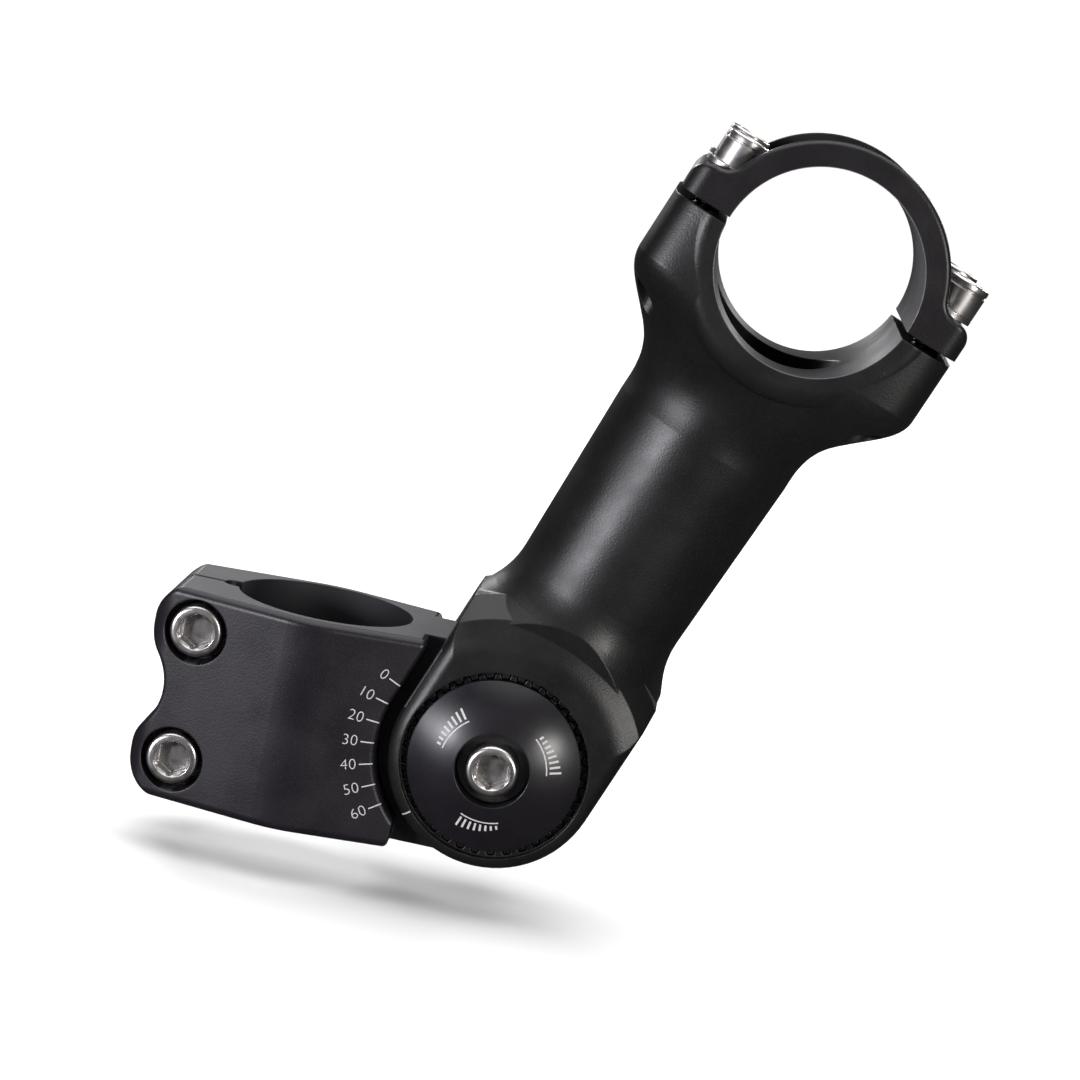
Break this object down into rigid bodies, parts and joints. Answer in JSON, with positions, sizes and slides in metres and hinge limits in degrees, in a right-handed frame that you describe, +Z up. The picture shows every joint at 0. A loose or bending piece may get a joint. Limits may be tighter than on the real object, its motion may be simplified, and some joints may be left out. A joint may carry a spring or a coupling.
{
  "type": "handlebar stem",
  "caption": "Adjustable-angle bicycle handlebar stem: a pinch clamp for the steerer, a tilting tubular arm with toothed lock discs, and a bolted bar clamp.",
  "frame": {"origin": "on the steerer axis, at the bottom face of the steerer clamp", "axes": "+X forwards towards the handlebar, +Y to the rider's left, +Z up the steerer"},
  "size_m": [0.1169, 0.0439, 0.1238],
  "materials": {
    "clamp_anodised": "satin black anodised, fine blasted grain",
    "arm_anodised": "satin black anodised, fine blasted grain",
    "disc_anodised": "smooth satin black anodised",
    "bright_steel": "bright zinc-plated steel",
    "turned_steel": "turned steel",
    "spring_steel": "drawn spring wire",
    "bush_polymer": "natural acetal",
    "black_washer": "black oxide"
  },
  "bodies": {
    "clamp": {"steerer_clamp": "clamp_anodised", "pinch_bolt_upper": "bright_steel", "pinch_bolt_lower": "bright_steel", "pivot_axle": "turned_steel", "release_spring_right": "spring_steel", "release_spring_left": "spring_steel"},
    "arm": {"arm": "arm_anodised"},
    "faceplate": {"faceplate": "clamp_anodised", "faceplate_bolt_upper_right": "bright_steel", "faceplate_washer_upper_right": "bright_steel", "faceplate_bolt_upper_left": "bright_steel", "faceplate_washer_upper_left": "bright_steel", "faceplate_bolt_lower_right": "bright_steel", "faceplate_washer_lower_right": "bright_steel", "faceplate_bolt_lower_left": "bright_steel", "faceplate_washer_lower_left": "bright_steel"},
    "disc_right": {"lock_disc_right": "disc_anodised", "pivot_bush_right": "bush_polymer"},
    "disc_left": {"lock_disc_left": "disc_anodised", "pivot_bush_left": "bush_polymer"},
    "bolt_right": {"pivot_bolt_right": "bright_steel", "pivot_washer_right": "black_washer"},
    "bolt_left": {"pivot_bolt_left": "bright_steel", "pivot_washer_left": "black_washer"}
  },
  "joints": [
    {"name": "arm_tilt", "type": "hinge", "parent": "clamp", "child": "arm", "pos_m": [0.03235, 0, 0.0174], "axis": [0, -1, 0], "range_deg": [-69, 1]},
    {"name": "disc_slide_right", "type": "slide", "parent": "arm", "child": "disc_right", "axis": [0, -1, 0], "range_m": [0, 0.003]},
    {"name": "disc_slide_left", "type": "slide", "parent": "arm", "child": "disc_left", "axis": [0, 1, 0], "range_m": [0, 0.003]},
    {"name": "bolt_turn_right", "type": "hinge", "parent": "disc_right", "child": "bolt_right", "pos_m": [0.03235, 0, 0.0174], "axis": [0, -1, 0], "range_deg": [0, 1080]},
    {"name": "bolt_turn_left", "type": "hinge", "parent": "disc_left", "child": "bolt_left", "pos_m": [0.03235, 0, 0.0174], "axis": [0, 1, 0], "range_deg": [0, 1080]},
    {"name": "faceplate_slide", "type": "slide", "parent": "arm", "child": "faceplate", "axis": [0.3584, 0, 0.9336], "range_m": [0, 0.035]}
  ],
  "couplings": [
    {"joint": "bolt_turn_right", "follows": "disc_slide_right", "rad_per_m": 6283.2},
    {"joint": "bolt_turn_left", "follows": "disc_slide_left", "rad_per_m": 6283.2}
  ]
}
